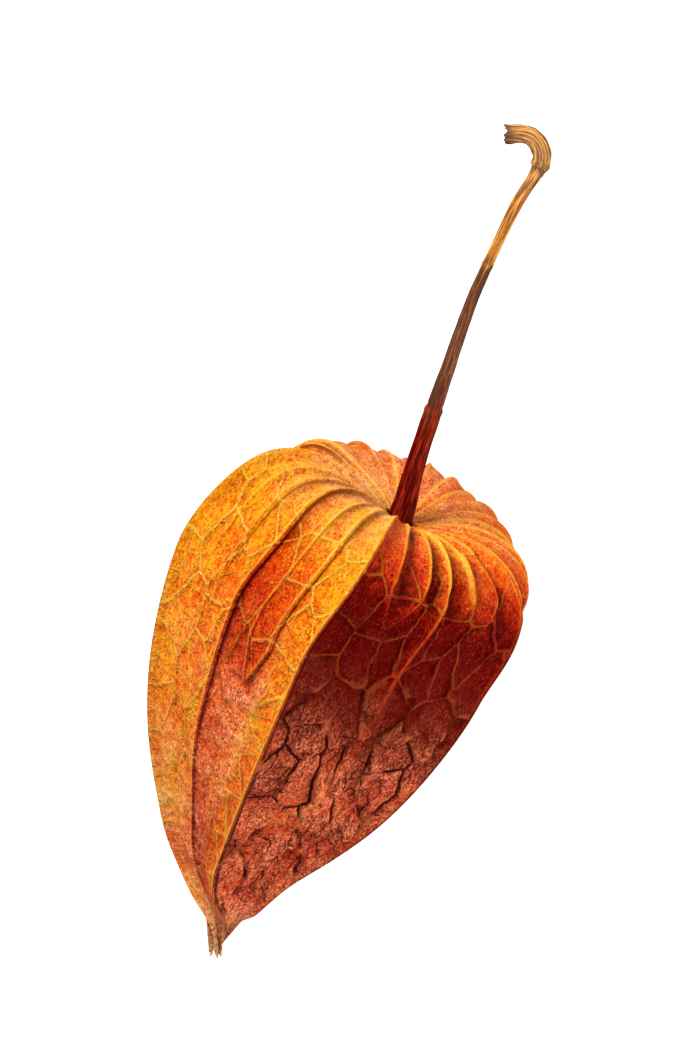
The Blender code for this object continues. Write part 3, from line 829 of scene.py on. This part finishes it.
def husk_finish(s):
    """Papery skin from amber to deep red, the red partly painted shade, with pale veins, dark cracks, scurf,
    fibres and a browned tip, painted shadow beside veins, at rib feet and in the pleats' valleys, and
    painted highlight along rib crests and crack rims.
    """
    f = Finish("papery husk")
    worn, tip, shoulder = f.read("worn"), f.read("tip"), f.read("shoulder")
    cracked, net_on = f.read("crack_on"), f.read("net_on")
    cloudy, patches = f.noise(CLOUDS, detail=4), f.noise(PATCHES, detail=1)
    crumbs = f.noise(CRUMBS, detail=2)
    along = f.stretched(GRAIN_STRETCH)
    grains = f.noise(GRAINS, detail=3, rough=0.75, place=along)
    jitter = f.vector("ADD", along, f.shift(*JITTER))
    strokes = f.noise(STROKES, detail=3, rough=0.8, place=jitter)
    flecks = f.times(f.granules(FLECKS, jitter), f.between(grains, 0.35, 0.52, 0.1, 0.7))
    flecks = f.plus(flecks, f.between(strokes, 0.50, 0.62, 0.0, 0.6))
    dots = f.noise(DOTS, detail=1, rough=0.5)
    plate_off, plate_tip = f.skin_cells(PLATE_SIZE, PLATE_WARP)
    cell_off, cell_tip = f.skin_cells(CELL_SIZE, CELL_WARP)
    raised = f.plus(plate_tip, f.times(cell_tip, 0.5))

    tint = f.plus(f.read("tint"), f.swing(cloudy, 0.4), f.times(f.swing(patches, -0.9), worn))
    shade = f.plus(tint, f.swing(grains, -1.1), f.swing(crumbs, -0.6))
    colour = f.ramp(shade, ((0.02, s.amber), (0.3, s.orange), (0.62, s.red), (0.95, s.deep_red_and_shade)))

    film = f.times(
        f.plus(worn, f.times(shoulder, 1.3)),
        f.between(flecks, 0.03, 0.38, 0.14, 1.15),
        f.between(cloudy, 0.3, 0.6, 0.45, 1.05),
        f.between(raised, -0.3, 0.3, 0.45, 1.25),
        f.between(patches, 0.38, 0.58, 0.72, 1.1),
        f.between(crumbs, 0.38, 0.6, 0.7, 1.1),
    )
    scurf = f.ramp(tint, ((0.15, s.pale_scurf), (0.8, s.scurf)))
    colour = f.mix(f.least(film, 0.9), colour, scurf)
    pale = f.times(f.between(dots, 0.62, 0.72), f.between(tint, 0.9, 0.1, 0.06, 0.5))
    colour = f.mix(pale, colour, f.ramp(tint, ((0.1, s.pale_fleck), (0.9, s.pale_scurf))))
    pits = f.times(f.between(grains, 0.42, 0.28), f.between(worn, 0.0, 1.0, 0.62, 0.5))
    colour = f.mix(pits, colour, s.crack_and_shade)

    # Painted shadow in bands beside the net's veins, so that they look raised
    painted_shade_by_vein = f.times(f.between(plate_off, *PAINTED_SHADE_BY_VEIN), f.between(tint, 0.2, 1.0, 0.12, 0.6))
    painted_shade = f.ramp(tint, ((0.15, s.painted_shade_amber), (0.6, s.crack_and_shade)))
    colour = f.mix(f.times(painted_shade_by_vein, net_on), colour, painted_shade)
    veins = f.ramp(tint, ((0.1, s.vein), (0.45, s.orange_vein), (0.9, s.red_vein)))
    # The rib line is the crest's pale vein colour set off towards its lit side, so it is partly painted
    # highlight
    rib = f.times(f.between(f.read("rib_off"), *RIB_LINE), f.read("rib_on"))
    net = f.times(f.between(plate_off, *VEIN), net_on)
    fine = f.times(f.between(cell_off, *FINE_VEIN), net_on)
    vein = f.most(rib, net, f.times(fine, 0.3))
    patchy = f.times(f.between(cloudy, 0.25, 0.6, 0.35, 0.9), f.between(grains, 0.3, 0.5, 0.4, 1.0))
    colour = f.mix(f.times(vein, patchy), colour, veins)
    # Painted shadow in a thin band at the foot of each rib's step
    foot = f.read("foot")
    foot = f.times(f.between(foot, *FOOT_BEGINS), f.between(foot, *FOOT_STOPS), f.read("foot_shade_on"))
    colour = f.mix(f.times(foot, f.between(grains, 0.3, 0.5, 0.65, 0.95)), colour, painted_shade)

    off_rib = f.between(f.read("rib_off"), 0.2, 0.9)
    wide = f.times(f.between(plate_off, *CRACK), f.between(patches, 0.35, 0.5, 0.35, 1.0))
    narrow = f.times(f.between(cell_off, *FINE_CRACK), f.between(patches, 0.62, 0.42, 0.1, 0.8))
    # Painted highlight on the rims beside the cracks, where the plates are raised
    lit = f.times(f.between(plate_off, *PAINTED_LIGHT_BY_CRACK), cracked, 0.5)
    colour = f.mix(f.times(lit, f.between(raised, -0.05, 0.12)), colour, s.lit_rim)
    # Real cracks, and the painted shade in the pleats' valleys, take the crack and shade colour
    crack_and_shade = f.most(f.times(f.most(wide, narrow), cracked, off_rib), f.read("painted_valley_shade"))
    colour = f.mix(f.least(crack_and_shade, 0.94), colour, s.crack_and_shade)
    browned = f.ramp(grains, ((0.35, s.tip_shade), (0.6, s.tip)))
    colour = f.mix(tip, colour, browned)

    height = f.plus(
        f.times(f.between(cell_off, *CELL_EDGE), cracked, CELL_HEIGHT),
        f.times(f.between(plate_off, *PLATE_EDGE), cracked, PLATE_HEIGHT),
        f.times(f.most(net, fine), VEIN_HEIGHT),
        f.times(grains, GRAIN_HEIGHT),
        f.times(crumbs, f.between(worn, 0.0, 1.0, *CRUMB_HEIGHT)),
    )
    grain = f.bump(height, 1.0, 1.0)
    return f.done(colour, f.between(grains, 0.3, 0.7, 0.8, 0.55), grain, specular=0.02)


def berry_finish(s):
    """Glossy ripe skin, a little mottled."""
    f = Finish("ripe berry")
    cloudy = f.noise(BERRY_CLOUDS, detail=3)
    colour = f.ramp(cloudy, ((0.3, s.skin), (0.75, s.blush)))
    grain = f.bump(f.noise(BERRY_GRAINS, detail=3), 0.15, BERRY_GRAIN_HEIGHT)
    return f.done(colour, f.between(cloudy, 0.3, 0.7, 0.24, 0.36), grain)


def stalk_finish(s):
    """Dry ribbed stalk: deep red by the husk, dark brown along its middle and straw brown at the hook."""
    f = Finish("dried stalk")
    along, ridge, broken = f.read("along"), f.read("ridge"), f.read("broken")
    streaks = f.noise(STREAKS, detail=4, place=f.read("fibre", "FLOAT_VECTOR"), rough=0.7)
    speckle = f.noise(SPECKLES, detail=3, rough=0.7)
    lower, upper = ((0.24, s.root), (0.32, s.middle), (0.62, s.middle)), ((0.66, s.straw), (0.80, s.straw))
    colour = f.ramp(f.plus(along, f.swing(speckle, 0.06)), (*lower, *upper, (0.86, s.hook)))
    lines = f.ramp(along, ((0.28, s.ridge), (0.38, s.tan), (0.60, s.tan), (0.67, s.pale_line)))
    lined = f.times(f.between(streaks, 0.52, 0.60), f.between(along, 0.0, 0.6, 0.5, 0.8))
    colour = f.mix(lined, colour, lines)
    colour = f.mix(f.times(ridge, f.between(streaks, 0.45, 0.6, 0.0, 0.7)), colour, lines)
    dark = f.ramp(along, ((0.2, s.groove), (0.4, s.broken)))
    colour = f.mix(f.times(f.between(streaks, 0.50, 0.42), 0.85), colour, dark)
    colour = f.mix(broken, colour, s.broken)
    grain = f.bump(speckle, 0.3, SPECKLE_HEIGHT, under=f.bump(streaks, 1.0, STREAK_HEIGHT))
    return f.done(colour, f.between(streaks, 0.3, 0.7, 0.5, 0.75), grain, specular=0.03)


def span(name, description, millimetres):
    return FloatProperty(name=name, description=description, default=millimetres * MM, unit="LENGTH")


def power(name, description, watts):
    return FloatProperty(name=name, description=description, default=watts, unit="POWER")


def tone(name, description, linear):
    return FloatVectorProperty(name=name, description=description, default=linear, subtype="COLOR")


class PhysalisHusk(bpy.types.PropertyGroup):
    wall: span("Wall", "Thickness of the papery skin", 0.9)
    vein_height: span("Vein height", "How far the net of veins stands out", 0.30)
    crack_depth: span("Crack depth", "Depth of the cracks between plates", 0.42)
    plate_tip: span("Plate tip", "How far the plates of skin are tipped", 2.9)
    deepest: span("Deepest", "How far the skin's relief may go down", 0.30)
    uneven: span("Unevenness", "Small unevenness of the skin", 0.35)
    amber: tone("Amber", "Palest panels", (0.86, 0.35, 0.005))
    orange: tone("Orange", "Lit red-orange panels", (0.74, 0.095, 0.001))
    red: tone("Red", "Ripe panels", (0.48, 0.014, 0.001))
    # Deep red, partly the husk's own colour and partly painted shade on the panels turned from the light
    deep_red_and_shade: tone("Deep red", "Darkest panels", (0.13, 0.0005, 0.0001))
    vein: tone("Vein", "Veins of amber skin", (0.96, 0.56, 0.06))
    orange_vein: tone("Orange vein", "Veins of orange skin", (0.88, 0.26, 0.02))
    red_vein: tone("Red vein", "Veins of red skin", (0.44, 0.030, 0.006))
    pale_fleck: tone("Pale fleck", "Palest specks of amber skin", (0.92, 0.58, 0.20))
    scurf: tone("Scurf", "Dry pinkish film", (1.0, 0.27, 0.12))
    pale_scurf: tone("Pale scurf", "Dry film on pale skin", (1.0, 0.50, 0.21))
    # Dark colour of real cracks and grain pits, also painted shade in valleys and at rib feet on red skin
    crack_and_shade: tone("Crack", "Cracks and folds", (0.035, 0.001, 0.0005))
    lit_rim: tone("Lit rim", "Rims of the raised plates", (0.92, 0.19, 0.07))
    # Painted shade on amber skin, beside veins and at the feet of ribs
    painted_shade_amber: tone("Fold", "Folds of amber skin", (0.24, 0.045, 0.002))
    tip: tone("Tip", "Withered lobes", (0.74, 0.37, 0.16))
    tip_shade: tone("Tip shade", "Darker withered skin", (0.16, 0.05, 0.018))


class PhysalisBerry(bpy.types.PropertyGroup):
    wrinkle: span("Wrinkle", "Depth of the shrunk skin's wrinkles", 0.12)
    skin: tone("Skin", "Ripe skin", (0.70, 0.10, 0.01))
    blush: tone("Blush", "Paler skin", (0.78, 0.22, 0.02))


class PhysalisStalk(bpy.types.PropertyGroup):
    flute: FloatProperty(
        name="Flute", description="Share of its radius that ribs stand out", default=0.12, subtype="FACTOR"
    )
    root: tone("Root", "Red by the husk", (0.10, 0.0010, 0.0004))
    middle: tone("Middle", "Brown of the middle", (0.075, 0.02, 0.009))
    straw: tone("Straw", "Straw brown below the hook", (0.40, 0.13, 0.016))
    hook: tone("Hook", "Brown of the hook", (0.28, 0.12, 0.05))
    ridge: tone("Ridge", "Pale lines along the ribs", (0.40, 0.03, 0.004))
    tan: tone("Tan line", "Lines of the brown middle", (0.27, 0.10, 0.04))
    groove: tone("Groove", "Dark grooves by the husk", (0.035, 0.0006, 0.0003))
    pale_line: tone("Pale line", "Pale lines below the hook", (0.80, 0.38, 0.09))
    broken: tone("Broken end", "Torn fibres", (0.10, 0.045, 0.022))


class PhysalisStage(bpy.types.PropertyGroup):
    lens: FloatProperty(name="Lens", description="Focal length in millimetres", default=100.0)
    sensor: FloatProperty(name="Sensor", description="Sensor's long side in millimetres", default=36.0)
    key_power: power("Key power", "Key light", 6.0)
    fill_power: power("Fill power", "Fill light", 3.2)
    sky: FloatProperty(name="Sky", description="Strength of the light from all round", default=0.25)
    floor: tone("Floor", "Pale floor", (0.9, 0.9, 0.89))
    floor_glow: FloatProperty(name="Floor glow", description="Light that it gives itself", default=0.36)


def rest_on_floor(piece):
    """Presses the piece's lowest places flat on the floor."""
    points = np.empty(len(piece.data.vertices) * 3)
    piece.data.vertices.foreach_get("co", points)
    points[2::3] = np.maximum(points[2::3], 0)
    piece.data.vertices.foreach_set("co", points)
    piece.data.update()


class PHYSALIS_OT_husk(bpy.types.Operator):
    """Add the papery husk"""

    bl_idname = "physalis.husk"
    bl_label = "Add Husk"

    def execute(self, context):
        s = context.scene.physalis_husk
        bpy.ops.object.select_all(action="DESELECT")
        bpy.ops.mesh.primitive_grid_add(
            x_subdivisions=RIBS * COLUMNS_PER_STRIP, y_subdivisions=OUTER_ROWS + INNER_ROWS, calc_uvs=True
        )
        husk = added("papery_husk")
        surface = HuskSurface()
        outer, marks = surface.build()
        shape(husk, rolled(np.concatenate([outer, surface.inner(s.wall / MM)])))
        for name, values in marks.items():
            inside = np.full((INNER_ROWS, *values.shape[1:]), INNER_MARKS.get(name, 0.0))
            mark(husk, name, rolled(np.concatenate([values, inside])))
        close_seams(husk)
        face_outwards(husk)
        husk_relief(husk, s)
        rest_on_floor(husk)
        husk.data.materials.append(husk_finish(s))
        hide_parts("husk")
        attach(husk, "root")
        return {"FINISHED"}


class PHYSALIS_OT_berry(bpy.types.Operator):
    """Add the berry inside the husk"""

    bl_idname = "physalis.berry"
    bl_label = "Add Berry"

    def execute(self, context):
        s = context.scene.physalis_berry
        bpy.ops.object.select_all(action="DESELECT")
        bpy.ops.mesh.primitive_uv_sphere_add(segments=BERRY_SIDES, ring_count=BERRY_RINGS, radius=1)
        berry = added("ripe_berry")
        shape(berry, berry_points(s, berry))
        face_outwards(berry)
        berry.data.materials.append(berry_finish(s))
        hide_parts("berry")
        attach(berry, "root")
        return {"FINISHED"}


class PHYSALIS_OT_stalk(bpy.types.Operator):
    """Add the stalk with its ring scar, knee and torn hook"""

    bl_idname = "physalis.stalk"
    bl_label = "Add Stalk"

    def execute(self, context):
        s = context.scene.physalis_stalk
        bpy.ops.object.select_all(action="DESELECT")
        bpy.ops.mesh.primitive_uv_sphere_add(segments=STALK_SIDES, ring_count=STALK_RINGS + 1, radius=1)
        stalk = added("dried_stalk")
        points, marks = stalk_points(s, stalk)
        shape(stalk, points)
        for name, values in marks.items():
            mark(stalk, name, values)
        face_outwards(stalk)
        stalk.data.materials.append(stalk_finish(s))
        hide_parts("stalk")
        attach(stalk, "root")
        return {"FINISHED"}


def berry_points(s, sphere):
    """Where each vertex of a sphere goes to make the berry, with its pit at the seat and its scar."""
    latitude, turn = sphere_angles(sphere)
    radius = BERRY_RADIUS * np.cos(latitude)
    ends = np.where(latitude > 0, -hump(radius, BERRY_PIT, BERRY_PIT_RADIUS), hump(radius, *BERRY_SCAR))
    waves = 1 + np.sin(BERRY_WRINKLES * turn + sway(latitude, *BERRY_SWAY))
    wrinkle = 1 - s.wrinkle / MM / BERRY_RADIUS * waves
    height = berry_place() + BERRY_RADIUS * BERRY_SQUASH * np.sin(latitude) * wrinkle + ends
    radius = radius * wrinkle
    return np.stack([radius * np.cos(turn), height, radius * np.sin(turn)], axis=-1)


def stalk_points(s, sphere):
    """Where each vertex of a sphere goes to make the stalk, ring by ring, and its marks."""
    seat_rings = len(SEAT_PROFILE)
    route = smooth_curve(STALK_ROUTE, STALK_RINGS - seat_rings)
    centre, radius = route[:, :3], route[:, 3].copy()
    length = np.r_[0, np.cumsum(np.linalg.norm(np.diff(centre, axis=0), axis=1))]
    tangent = np.gradient(centre, axis=0)
    tangent /= np.linalg.norm(tangent, axis=1)[:, None]
    side = np.cross(tangent, (0.0, 0.0, 1.0))
    side /= np.linalg.norm(side, axis=1)[:, None]
    rise = np.cross(side, tangent)

    below = int(len(centre) * BELOW_HOOK)
    places = np.interp((RING_SCAR_AT, SECOND_SCAR_AT, KNEE_AT), centre[:below, 1], length[:below])
    scar, second, knee = (length - place for place in places)
    hook = risen(knee, 0, HOOK_GROWS_OVER)
    radius += hump(scar, *SCAR_RING) + hump(scar, *SCAR_GROOVE) + SCAR_SLEEVE * within(scar, *SLEEVE)
    radius += hump(second, *SECOND_RING) + hump(knee, *KNEE_COLLAR) * hook

    latitude, turn = sphere_angles(sphere)
    pole = np.abs(latitude) > math.pi / 2 - POLE_WITHIN
    ring = np.round((latitude + math.pi / 2) / math.pi * (STALK_RINGS + 1)).astype(int) - 1
    ring = np.clip(ring, 0, STALK_RINGS - 1)
    seated = ring < seat_rings
    ended = pole & ~seated
    j = np.maximum(ring - seat_rings, 0)
    at, hook = length[j], hook[j]

    angle = turn + sway(at, *FLUTE_SWAY)
    flute = np.cos(FLUTES * angle)
    fine = np.cos(FINE_FLUTES * angle + sway(at, *FINE_SWAY))
    (tall, turns), (tall_across, turns_across, slope) = LONG_WRINKLES, CROSS_WRINKLES
    wrinkles = tall * np.sin(turns * angle + sway(at, *WRINKLE_SWAY))
    wrinkles += tall_across * np.sin(slope * at + turns_across * angle)
    flutes = s.flute * (1 - FLUTES_LOST_AT_HOOK * hook) * flute + FINE_FLUTE * fine + hook * wrinkles
    last = risen(length[-1] - at, TEAR_LENGTH, -TEAR_LENGTH)
    teeth = np.sin(TEAR_TEETH[0] * turn) * np.sin(TEAR_TEETH[1] * turn + 1)
    torn = last * TEAR_DEPTH * (0.5 + 0.5 * teeth)
    out = side[j] * np.cos(turn)[:, None] + rise[j] * np.sin(turn)[:, None]
    points = centre[j] + out * (radius[j] * (1 + flutes))[:, None] + tangent[j] * torn[:, None]
    points[ended] = (centre[j] - tangent[j] * END_SUNK)[ended]
    fibre = np.stack([radius[j] * np.cos(angle), radius[j] * np.sin(angle), FIBRE_DRAWN_OUT * at], axis=-1)
    fibre[ended] = 0

    down, wide = np.array(SEAT_PROFILE)[np.minimum(ring, seat_rings - 1)].T
    reach = np.where(pole, 0, wide * SEAT_RADIUS)
    seat = np.stack([reach * np.cos(turn), SEAT_TOP - SEAT_THICKNESS * down, reach * np.sin(turn)], axis=-1)
    points[seated] = fibre[seated] = seat[seated]

    ridge = np.maximum(flute, 0) ** 2 * (1 - RIDGE_LOST_AT_HOOK * hook)
    ridge += hump(scar[j], *SCAR_PALE) + hump(second[j], *SECOND_PALE)
    broken = END_BROKEN * last + hump(knee[j], *KNEE_BROKEN)
    ridge[ended], broken[ended] = 0, 1
    marks = {"along": at / length[-1], "ridge": ridge, "broken": broken}
    marks = {name: np.where(seated, 0, np.clip(values, 0, 1)) for name, values in marks.items()}
    return points, {**marks, "fibre": fibre * MM}


def view_axes():
    """The image's right and up, and the way back to the camera, in the frame."""
    level = math.cos(VIEW_BACK)
    back = Vector((level * math.sin(VIEW_ASIDE), math.sin(VIEW_BACK), level * math.cos(VIEW_ASIDE)))
    along = Vector((0, 1, 0))
    along = (along - back * back.dot(along)).normalized()
    across = along.cross(back)
    right = across * math.cos(VIEW_ROLL) + along * math.sin(VIEW_ROLL)
    up = along * math.cos(VIEW_ROLL) - across * math.sin(VIEW_ROLL)
    turn = Matrix.Rotation(REST_SLOPE, 3, "X")
    return turn @ right, turn @ up, turn @ back


class PHYSALIS_OT_stage(bpy.types.Operator):
    """Add the camera, the lights and the pale floor"""

    bl_idname = "physalis.stage"
    bl_label = "Add Stage"

    def execute(self, context):
        s = context.scene.physalis_stage
        bpy.ops.object.select_all(action="DESELECT")
        right, up, back = view_axes()
        root = resting_place() @ Vector((0, STALK_ROOT_HEIGHT * MM, 0))
        across = (STALK_ROOT_PIXEL[0] - PHOTO_WIDTH / 2) * MM_PER_PIXEL * MM
        above = (PHOTO_HEIGHT / 2 - STALK_ROOT_PIXEL[1]) * MM_PER_PIXEL * MM
        target = root - right * across - up * above
        distance = PHOTO_HEIGHT * MM_PER_PIXEL * MM * s.lens / s.sensor
        turn = Matrix((right, up, back)).transposed()
        bpy.ops.object.camera_add(location=target + back * distance, rotation=turn.to_euler())
        camera = bpy.context.active_object
        camera.name = "camera"
        camera.data.lens = s.lens
        camera.data.sensor_width = s.sensor
        camera.data.clip_start = CLIP_FROM
        context.scene.camera = camera
        lights = ("key light", KEY_LIGHT, s.key_power), ("fill light", FILL_LIGHT, s.fill_power)
        for name, (direction, away, size), watts in lights:
            towards = (turn @ Vector(direction)).normalized()
            aim = towards.to_track_quat("Z", "Y").to_euler()
            bpy.ops.object.light_add(type="AREA", location=target + towards * away, rotation=aim)
            light = bpy.context.active_object
            light.name = name
            light.data.size = size
            light.data.energy = watts
        world = bpy.data.worlds.new("soft studio")
        world.use_nodes = True
        sky = world.node_tree.nodes["Background"].inputs
        sky["Color"].default_value = (1, 1, 1, 1)
        sky["Strength"].default_value = s.sky
        context.scene.world = world
        context.scene.view_settings.view_transform = "Standard"
        bpy.ops.mesh.primitive_plane_add(size=FLOOR_SIZE, location=(0, 0, 0))
        floor = added("floor")
        finish = Finish("pale floor")
        grain = finish.bump(finish.noise(FLOOR_GRAINS), 0.02, FLOOR_GRAIN_HEIGHT)
        floor.data.materials.append(finish.done((*s.floor, 1), FLOOR_ROUGHNESS, grain))
        finish.shader.inputs["Emission Color"].default_value = (*s.floor, 1)
        finish.shader.inputs["Emission Strength"].default_value = s.floor_glow
        return {"FINISHED"}


class PHYSALIS_PT_panel(bpy.types.Panel):
    """Lists the fruit's pieces"""

    bl_idname = "PHYSALIS_PT_panel"
    bl_label = "Physalis"
    bl_space_type = "VIEW_3D"
    bl_region_type = "UI"
    bl_category = "Physalis"

    def draw(self, context):
        for operator in OPERATORS:
            self.layout.operator(operator.bl_idname)


SETTINGS = {
    "physalis_husk": PhysalisHusk,
    "physalis_berry": PhysalisBerry,
    "physalis_stalk": PhysalisStalk,
    "physalis_stage": PhysalisStage,
}
OPERATORS = (PHYSALIS_OT_husk, PHYSALIS_OT_berry, PHYSALIS_OT_stalk, PHYSALIS_OT_stage)


def register():
    for item in (*SETTINGS.values(), *OPERATORS, PHYSALIS_PT_panel):
        bpy.utils.register_class(item)
    for name, group in SETTINGS.items():
        setattr(bpy.types.Scene, name, PointerProperty(type=group))


def unregister():
    for name in SETTINGS:
        delattr(bpy.types.Scene, name)
    for item in reversed((*SETTINGS.values(), *OPERATORS, PHYSALIS_PT_panel)):
        bpy.utils.unregister_class(item)


def main():
    register()
    bpy.ops.physalis.husk()
    bpy.ops.physalis.berry()
    bpy.ops.physalis.stalk()
    bpy.ops.physalis.stage()
    bpy.context.view_layer.update()


if __name__ == "__main__":
    main()
